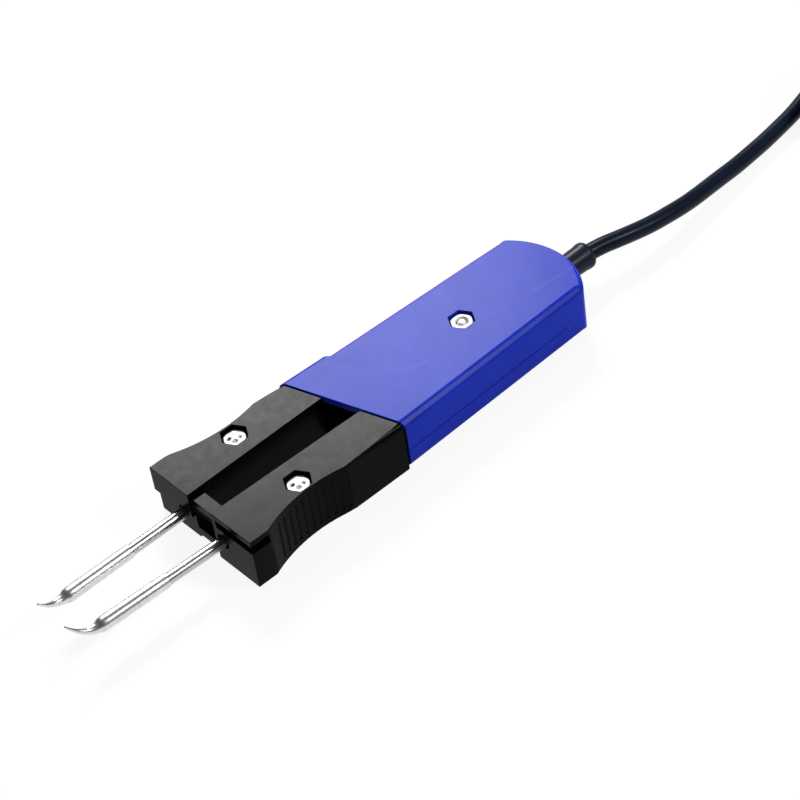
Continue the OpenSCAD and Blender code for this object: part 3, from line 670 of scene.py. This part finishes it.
def finish_edges(piece, pick=None, width=0.0, segments=2, sharp_angle=radians(32)):
    """Merges flat faces, bevels the edges that pick chooses, and shades smooth up to a sharp angle."""
    mesh = bmesh.new()
    mesh.from_mesh(piece.data)
    bmesh.ops.remove_doubles(mesh, verts=mesh.verts, dist=1e-6)
    bmesh.ops.dissolve_limit(mesh, angle_limit=radians(0.5), verts=mesh.verts, edges=mesh.edges)
    chosen = [edge for edge in mesh.edges if pick and len(edge.link_faces) == 2 and pick(edge)]
    if chosen:
        bmesh.ops.bevel(
            mesh, geom=chosen, offset=width, offset_type="OFFSET", segments=segments, profile=0.5,
            affect="EDGES", material=-1, clamp_overlap=False)
    for face in mesh.faces:
        face.smooth = True
    for edge in mesh.edges:
        edge.smooth = corner(edge) < sharp_angle
    mesh.to_mesh(piece.data)
    mesh.free()


def settle(piece, material, slot, body, *replaced):
    """Gives a finished piece its material and its body, evens its normals, and hides the parts that it stands
    for.
    """
    piece.data.materials.clear()
    piece.data.materials.append(material)
    weighted = piece.modifiers.new("even normals", "WEIGHTED_NORMAL")
    weighted.keep_sharp = True
    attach(piece, body)
    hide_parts(*replaced)
    print(piece.name, len(piece.data.polygons), "faces")


print("edge helpers ready")

# %% Rims and finish of the shells
fine_edge = 0.14 * MM
# Faces that lean as little as this are the slope of the crease and the last step of the rounded edge.
# Their edges stay crisp
slope_least = 0.997
slope_most = 0.9997


def at_mouth(vert):
    return abs(vert.co.y - mouth_at(vert.co.x)) < 1e-6


def near_pocket(vert):
    on_top = vert.co.z > body_h - 0.02 * MM
    return on_top and (vert.co.xy - Vector((0, screw_y))).length < pocket_af


def rim_edge(edge):
    """The mouth's rims and the nut pocket's rim."""
    if corner(edge) <= radians(40):
        return False
    return all(at_mouth(v) for v in edge.verts) or all(near_pocket(v) for v in edge.verts)


def in_cavity(face):
    """A face of the hollow inside, which gets the near-black painted shade."""
    x, y, z = face.center
    if (face.center.xy - Vector((0, screw_y))).length < boss_r and z > pocket_floor - 0.1 * MM:
        return False
    slack = 0.01 * MM
    inside = abs(x) < side_at(y) - wall + slack and y < corner_y - wall
    return inside and wall - slack < z < body_h - wall + slack


for shell, node in ((top_shell, "body_top_shell"), (bottom_shell, "body_bottom_shell")):
    finish_edges(shell, rim_edge, fine_edge)
    settle(shell, blue_plastic, "blue_plastic", "housing", node)
    # The second slot holds the painted shade of the hollow
    shell.data.materials.append(painted_shade_inside)
    slope_edges = set()
    for face in shell.data.polygons:
        if slope_least < face.normal.z < slope_most:
            slope_edges.update(face.edge_keys)
        # Faces of the hollow take the near-black painted shade
        if in_cavity(face):
            face.material_index = 1
    for edge in shell.data.edges:
        if edge.key in slope_edges:
            edge.use_edge_sharp = True

# %% [markdown]
# Arms
# Each arm is two black mouldings, split at half height. Their shape is right already, so a copy of each only
# has its flat faces merged and its edges softened. The upright edges at the ends of the finger grip get a
# wide radius, which makes the side one flowing line, but not where the groove under the right arm's lip ends.
# The edges of the top and the bottom get a fine one that catches the light. The tongues and slots keep their
# clearances.

# %% Arms
front_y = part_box("right_arm_upper")[0].y
split_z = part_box("right_arm_upper")[0].z
grip_ends = [(19 * MM, front_y + 5.59 * MM), (17 * MM, front_y + 31.61 * MM)]
grip_r = 1.6 * MM


def copied(name, node):
    """An object whose mesh starts as a copy of a part's."""
    piece = loose_object(name, bmesh.new())
    piece.data = nodes[node].data.copy()
    return piece


def grip_end(edge, ends):
    """An upright edge where the finger grip starts or ends."""
    a, b = (v.co for v in edge.verts)
    if (a - b).xy.length > 1e-6:
        return False
    return any(abs(abs(a.x) - x) < 0.1 * MM and abs(a.y - y) < 0.1 * MM for x, y in ends)


def outer_edge(edge):
    """A sharp edge round the top or the bottom of an arm."""
    heights = [v.co.z for v in edge.verts]
    level = min(heights) > body_h - 0.01 * MM or max(heights) < 0.01 * MM
    return level and corner(edge) > radians(35)


for side in ("left", "right"):
    rounded_ends = grip_ends[1:] if side == "right" else grip_ends
    for half in ("upper", "lower"):
        node = f"{side}_arm_{half}"
        arm = copied(f"{side}_{half}_moulding", node)
        finish_edges(arm, lambda edge: grip_end(edge, rounded_ends), grip_r, 6)
        finish_edges(arm, outer_edge, fine_edge)
        settle(arm, black_plastic, "black_plastic", f"{side}_arm", node)

# %% [markdown]
# Nuts and screws
# Three plated screws come up from below into nuts that lie in hexagonal pockets. A real nut's corners are
# turned off at both ends, so the hexagon is intersected with a turned blank, and its bore is drilled through.
# The screws are turned in one piece, with a socket in the head. Their ends show in the nuts, and on the arms
# three punch marks across the joint keep nut and screw from turning.

# %% Lathe
def turned(profile, start, direction, closed=False, steps=72):
    """A lathe: spins a profile of (along, radius) in millimetres about an axis."""
    mesh = bmesh.new()
    across = direction.orthogonal().normalized()
    verts = []
    for along, radius in profile:
        verts.append(mesh.verts.new(start + (direction * along + across * radius) * MM))
    ends = verts[1:] + verts[:1] if closed else verts[1:]
    edges = [mesh.edges.new(pair) for pair in zip(verts, ends)]
    bmesh.ops.spin(
        mesh, geom=verts + edges, cent=start, axis=direction, angle=2 * pi, steps=steps, use_merge=True)
    bmesh.ops.remove_doubles(mesh, verts=mesh.verts, dist=1e-7)
    bmesh.ops.recalc_face_normals(mesh, faces=mesh.faces)
    return mesh


print("lathe ready")

# %% Nuts
nut_af = 5.5 * MM
bore_r = 1.55
bore_flare_r = 1.95
punch_depth = 1.8 * MM
punch_point_r = 0.02 * MM
upwards = Vector((0, 0, 1))


def fastener_axis(node):
    """Middle of a fastener's foot, and its height in millimetres."""
    low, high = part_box(node)
    return Vector(((low.x + high.x) / 2, (low.y + high.y) / 2, low.z)), (high.z - low.z) / MM


def punch(piece, foot, top, marks):
    """Small pointed marks across the joint of nut and screw, which lock the two."""
    down = upwards * punch_depth
    for angle, reach, radius in marks:
        spoke = Vector((cos(radians(angle)), sin(radians(angle)), 0))
        place = Vector((foot.x, foot.y, top)) + spoke * reach * MM
        carve(piece, rod_mesh(place - down, place + down, punch_point_r, 24, 2 * radius * MM))


def make_nut(name, node, body, taller, marks):
    """A nut with its corners turned off. Its bore flares below, and above where it isn't punched."""
    foot, height = fastener_axis(node)
    height += taller
    nut = loose_object(name, hexagon(foot.x, foot.y, foot.z, foot.z + height * MM, nut_af))
    blank = [(0, 0), (0, 2.6), (0.35, 3.2), (height - 0.3, 3.2), (height, 2.58), (height, 0)]
    carve(nut, turned(blank, foot, upwards), "INTERSECT")
    drill = [
        (-0.1, 0), (-0.1, bore_flare_r), (0.4, bore_r), (height - 0.4, bore_r),
        (height + 0.1, bore_r if marks else bore_flare_r), (height + 0.1, 0),
    ]
    carve(nut, turned(drill, foot, upwards))
    punch(nut, foot, foot.z + height * MM, marks)
    finish_edges(nut, lambda edge: corner(edge) > radians(25), 0.06 * MM)
    settle(nut, plated_steel, "plated_steel", body, node)


print("nut", nut_af, "across flats")

# %% Screws, and all fasteners
thread_r = 1.5
screw_longer = 0.4
socket_af = 2.5 * MM
socket_depth = 1.2 * MM


def make_screw(name, node, body, longer, marks):
    """A screw with a socket in its head. Its end is a cone, or flat where it is punched."""
    foot, length = fastener_axis(node)
    length += longer
    end = [(length - 0.05, thread_r), (length, 1.45)] if marks else [(length - 1, thread_r), (length, 0.8)]
    head = [(0, 0), (0, 2.45), (0.1, 2.65), (0.3, 2.75), (1.85, 2.75), (2, 2.65)]
    profile = [*head, (2, thread_r), *end, (length, 0)]
    screw = loose_object(name, turned(profile, foot, upwards))
    carve(screw, hexagon(foot.x, foot.y, foot.z - 1 * MM, foot.z + socket_depth, socket_af))
    punch(screw, foot, foot.z + length * MM, marks)
    finish_edges(screw, lambda edge: corner(edge) > radians(50), 0.04 * MM)
    settle(screw, plated_steel, "plated_steel", body, node)


# Angle in degrees, distance from the axis and radius in millimetres
punch_marks = [(61, 1.25, 0.6), (238, 1.4, 0.66), (-34, 1.08, 0.76)]
# Place, body, how much taller than the solid the nut stands in millimetres, and its marks
fasteners = [
    ("body", "housing", 0.75, []),
    ("left_arm", "left_arm", 0.4, punch_marks),
    ("right_arm", "right_arm", 0.4, punch_marks),
]
for place, body, taller, marks in fasteners:
    make_nut(f"{place}_hex_nut", f"{place}_nut", body, taller, marks)
    make_screw(f"{place}_long_screw", f"{place}_screw", body, screw_longer + taller, marks)

# %% [markdown]
# Rods and tips
# Each heater is a polished rod that comes out of the arm's front, and a plated sleeve with a bent point slips
# over it. The rod is turned. The tip is swept along its bend with a radius at each step: even along the
# sleeve, then quickly down to a needle that rises and leans towards the other one.

# %% Sweep
def swept(points, radii, resolution):
    """A round bar along points, with a radius in millimetres at each, as a mesh."""
    curve = bpy.data.curves.new("bar", "CURVE")
    curve.dimensions = "3D"
    curve.bevel_depth = MM
    curve.bevel_resolution = resolution
    curve.use_fill_caps = True
    line = curve.splines.new("POLY")
    line.points.add(len(points) - 1)
    for point, place, radius in zip(line.points, points, radii):
        point.co = (*place, 1)
        point.radius = radius
    bar = bpy.data.objects.new("bar", curve)
    bpy.context.scene.collection.objects.link(bar)
    bpy.context.view_layer.update()
    solid = bpy.data.meshes.new_from_object(bar.evaluated_get(bpy.context.evaluated_depsgraph_get()))
    bpy.data.objects.remove(bar)
    mesh = bmesh.new()
    mesh.from_mesh(solid)
    bmesh.ops.remove_doubles(mesh, verts=mesh.verts, dist=1e-7)
    bmesh.ops.recalc_face_normals(mesh, faces=mesh.faces)
    return mesh


print("sweep ready")

# %% Rods and tips
rod_x = 7.35 * MM
rod_tilt = radians(0.8)
toe_in = radians(1.07)
rod_show = 16.8
sleeve_end = 36.5
point_r = 1.72
point_run = 7.8
point_rise = 5.0
point_lean = 1.3
# Along the rod from the arm's front, and radius, in millimetres
rod_profile = [
    (-26, 0), (-26, 2.2), (-25.9, 2.3), (-23.1, 2.3), (-23, 2.2), (-23, 1.5),
    (28.6, 1.5), (28.8, 1.4), (28.8, 0),
]
# The same from the start of the tip's sleeve
tip_sleeve = [(0, 1.62), (0.12, 1.78), (0.3, 1.8), (9, 1.85), (17.6, 1.9), (18.6, 1.88), (19.3, 1.78)]


def rod_axes(side):
    """Start, forward and up of a rod, and the direction across it."""
    forward = Vector((-side * sin(toe_in) * cos(rod_tilt), -cos(toe_in) * cos(rod_tilt), sin(rod_tilt)))
    across = Vector((cos(toe_in), -side * sin(toe_in), 0))
    return Vector((side * rod_x, front_y, split_z)), forward, across.cross(-forward).normalized(), across


def tip_stations():
    """Forward, rise, lean and radius along a tip in millimetres."""
    stations = [(rod_show + along, 0, 0, radius) for along, radius in tip_sleeve]
    steps = 26
    for i in range(steps + 1):
        t = (i / steps) ** 1.3
        radius = point_r * (1 - 0.88 * t ** 0.62)
        stations.append((sleeve_end + point_run * t, point_rise * t ** 2.2, point_lean * t ** 2, radius))
    return stations


stations = tip_stations()
for side, name in ((-1, "left"), (1, "right")):
    start, forward, up, across = rod_axes(side)
    rod = loose_object(f"{name}_rod", turned(rod_profile, start, forward))
    finish_edges(rod)
    settle(rod, rod_steel, "rod_steel", f"{name}_arm", f"{name}_heater")
    path = []
    for run, rise, lean, _ in stations:
        path.append(start + (forward * run + up * rise - across * side * lean) * MM)
    tip = loose_object(f"{name}_point", swept(path, [station[3] for station in stations], 14))
    finish_edges(tip, sharp_angle=radians(50))
    settle(tip, tip_plating, "tip_plating", f"{name}_arm", f"{name}_tip")

# %% [markdown]
# Cable sleeve
# A soft rubber sleeve keeps the cord from kinking where it leaves the body. It widens a little towards its
# end and finishes in a rounded rim. Inside the body a flange holds it, so the whole is one turned shape.

# %% Cable sleeve
sleeve_len = (sleeve_high.y - sleeve_low.y) / MM
sleeve_bore_r = 2.4
sleeve_profile = [
    (0, sleeve_bore_r), (0, 5.3), (2, 5.3), (2.1, 3.4), (sleeve_len - 9.5, 3.4), (sleeve_len - 2.6, 3.58),
    (sleeve_len - 1.9, 3.72), (sleeve_len - 1.2, 3.75), (sleeve_len - 0.5, 3.7), (sleeve_len - 0.1, 3.45),
    (sleeve_len, 3.1), (sleeve_len, sleeve_bore_r),
]
backwards = Vector((0, 1, 0))
sleeve_start = Vector((0, sleeve_low.y, cord_exit_z))
cable_sleeve = loose_object("rubber_sleeve", turned(sleeve_profile, sleeve_start, backwards, closed=True))
finish_edges(cable_sleeve)
settle(cable_sleeve, black_rubber, "black_rubber", "housing", "cable_sleeve")

# %% [markdown]
# Return spring
# Inside the body a coil spring pushes the arms apart. Each arm presses its own end, so the spring is made as
# two halves that meet in the middle.

# %% Return spring
spring_y = mouth_y + 15 * MM
spring_half = 4.85 * MM
coil_r = 2.45 * MM
wire_r = 0.25
half_turns = 3
steps_per_turn = 24
coil_steps = half_turns * steps_per_turn
for side, name in ((-1, "left"), (1, "right")):
    coil = []
    for i in range(coil_steps + 1):
        angle = side * 2 * pi * i / steps_per_turn
        coil.append(Vector((
            side * spring_half * i / coil_steps,
            spring_y + coil_r * cos(angle),
            split_z + coil_r * sin(angle))))
    half = loose_object(f"{name}_half_spring", swept(coil, [wire_r] * len(coil), 3))
    finish_edges(half, sharp_angle=radians(60))
    settle(half, spring_steel, "spring_steel", "housing", "return_spring")
    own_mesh(half)

# %% [markdown]
# Plug and tie
# The plug has a ribbed rubber boot, a dark shell and a knurled locking ring, all turned about one axis. The
# knurl is made by pressing every other column of the ring's outer points inwards. A flat strap ties the hank.

# %% Boot and shell of the plug
plug_start = Vector((plug_x, plug_y, plug_z))
boot_len = 16
rib_count = 5
rib_pitch = 2.6
boot_profile = [(0, 0), (0, 2.9), (0.4, 3.1)]
for rib in range(rib_count):
    along = 2 + rib_pitch * rib
    radius = 3.1 + 1.9 * along / boot_len
    boot_profile += [
        (along, radius), (along + 0.2, radius - 0.5), (along + 0.9, radius - 0.42),
        (along + 1.1, radius + 0.13),
    ]
boot_profile += [(boot_len - 0.3, 5), (boot_len, 4.8), (boot_len, 0)]
shell_profile = [
    (16, 0), (16, 5.6), (16.8, 6.5), (20, 6.5), (20.3, 6.2), (21, 6.2), (21.3, 6.5), (29.4, 6.5), (30, 6),
    (30, 5.7), (40, 5.7), (40, 5.5), (47.6, 5.5), (48, 5.3), (48, 4.9), (34, 4.9), (34, 0),
]
boot = loose_object("ribbed_boot", turned(boot_profile, plug_start, backwards))
plug_body = loose_object("turned_plug_body", turned(shell_profile, plug_start, backwards))
for piece, material, slot, node in (
    (boot, black_rubber, "black_rubber", "plug_boot"),
    (plug_body, plug_plastic, "plug_plastic", "plug_shell"),
):
    finish_edges(piece, sharp_angle=radians(40))
    settle(piece, material, slot, "housing", node)

# %% Locking ring and tie
knurl_r = 7.18
knurl_depth = 0.22 * MM
knurl_columns = 72
ring_profile = [
    (30.05, 5.75), (30.05, 6.7), (30.5, 7.15), (31.2, 7.2), (31.6, 7), (32, knurl_r), (38, knurl_r),
    (38.4, 7), (38.8, 7.2), (39.5, 7.15), (39.95, 6.7), (39.95, 5.75),
]
ring_mesh = turned(ring_profile, plug_start, backwards, closed=True, steps=2 * knurl_columns)
for vert in ring_mesh.verts:
    spoke = Vector((vert.co.x - plug_x, 0, vert.co.z - plug_z))
    column = round(atan2(spoke.z, spoke.x) / pi * knurl_columns)
    if abs(spoke.length - knurl_r * MM) < 0.005 * MM and column % 2:
        vert.co -= spoke.normalized() * knurl_depth
locking_ring = loose_object("knurled_ring", ring_mesh)
finish_edges(locking_ring, sharp_angle=radians(40))
settle(locking_ring, ring_metal, "ring_metal", "housing", "plug_ring")
strap = copied("hank_strap", "cord_tie")
finish_edges(strap, lambda edge: corner(edge) > radians(35), 0.22 * MM, 3)
settle(strap, tie_plastic, "tie_plastic", "housing", "cord_tie")

# %% [markdown]
# Stage and light
# The object lies on a plain white floor. The camera and mirrored rays see the floor's own white, mixed with a
# little plain shading that keeps the object's shadow. The key light is a soft box behind and to the left,
# where the flat tops mirror it towards the camera and so take on a pale sheen. A smaller and weaker box
# behind and to the right lights the rounded edge.

# %% Floor
floor_white_share = 0.9
floor_mesh = bmesh.new()
bmesh.ops.create_grid(floor_mesh, x_segments=1, y_segments=1, size=3)
floor = loose_object("floor", floor_mesh)
floor.location.z = -0.02 * MM
floor_finish = bpy.data.materials.new("floor")
floor_finish.use_nodes = True
floor_finish.node_tree.nodes.clear()
floor_out = add_node(floor_finish, "ShaderNodeOutputMaterial")
floor_mix = add_node(floor_finish, "ShaderNodeMixShader")
floor_white = add_node(floor_finish, "ShaderNodeEmission")
floor_diffuse = add_node(floor_finish, "ShaderNodeBsdfDiffuse", color=(0.8, 0.8, 0.8, 1))
floor_path = add_node(floor_finish, "ShaderNodeLightPath")
floor_mirrored = add_node(floor_finish, "ShaderNodeMath", operation="MAXIMUM")
floor_seen = add_node(floor_finish, "ShaderNodeMath", operation="MAXIMUM")
floor_keep = add_node(floor_finish, "ShaderNodeMath", operation="MULTIPLY")
floor_keep.inputs[1].default_value = floor_white_share
for out_socket, in_socket in (
    (floor_path.outputs["Is Glossy Ray"], floor_mirrored.inputs[0]),
    (floor_path.outputs["Is Transmission Ray"], floor_mirrored.inputs[1]),
    (floor_path.outputs["Is Camera Ray"], floor_seen.inputs[0]),
    (floor_mirrored.outputs["Value"], floor_seen.inputs[1]),
    (floor_seen.outputs["Value"], floor_keep.inputs[0]),
    (floor_keep.outputs["Value"], floor_mix.inputs["Fac"]),
    (floor_diffuse.outputs["BSDF"], floor_mix.inputs[1]),
    (floor_white.outputs["Emission"], floor_mix.inputs[2]),
    (floor_mix.outputs["Shader"], floor_out.inputs["Surface"]),
):
    join(floor_finish, out_socket, in_socket)
floor.data.materials.append(floor_finish)
print("floor ready")

# %% World and lamps
world_level = 0.35
mirrored_world_level = 0.12
world = bpy.data.worlds.new("studio")
bpy.context.scene.world = world
world.use_nodes = True
sky = world.node_tree.nodes["Background"]
sky.inputs["Color"].default_value = (1, 1, 1, 1)
sky_path = add_node(world, "ShaderNodeLightPath")
sky_level = add_node(world, "ShaderNodeMapRange", to_min=world_level, to_max=mirrored_world_level)
join(world, sky_path.outputs["Is Glossy Ray"], sky_level.inputs["Value"])
join(world, sky_level.outputs["Result"], sky.inputs["Strength"])


def soft_box(name, direction, distance, width, height, power):
    """A rectangular area lamp that faces the object."""
    lamp_data = bpy.data.lights.new(name, "AREA")
    lamp_data.shape = "RECTANGLE"
    lamp_data.size = width
    lamp_data.size_y = height
    lamp_data.energy = power
    lamp = bpy.data.objects.new(name, lamp_data)
    bpy.context.scene.collection.objects.link(lamp)
    towards = Vector(direction).normalized()
    turn = towards.to_track_quat("Z", "Y").to_matrix().to_4x4()
    lamp.matrix_world = Matrix.Translation(towards * distance) @ turn


soft_box("key", (-0.652, 0.40, 0.645), 1.6, 0.55, 0.3, 31)
soft_box("edge", (0.58, 0.47, 0.665), 1.6, 0.28, 0.28, 13)
bpy.context.scene.view_settings.view_transform = "Standard"
print("lit")

# %% [markdown]
# Plain solids
# The pieces that stay as solids, hidden in the body, the arms and the plug, get their finishes here.

# %% Solids
solid_finishes = {
    "plug_insert": insert_plastic,
    "plug_contacts": contact_brass,
    "pivot_pins": pin_steel,
    "wire_splices": splice_sleeving,
    "left_heater_bush": bush_ceramic,
    "right_heater_bush": bush_ceramic,
    "left_heater_leads": lead_insulation,
    "right_heater_leads": lead_insulation,
}
for node, material in solid_finishes.items():
    nodes[node].data.materials.clear()
    nodes[node].data.materials.append(material)

print("solids finished", len(solid_finishes))
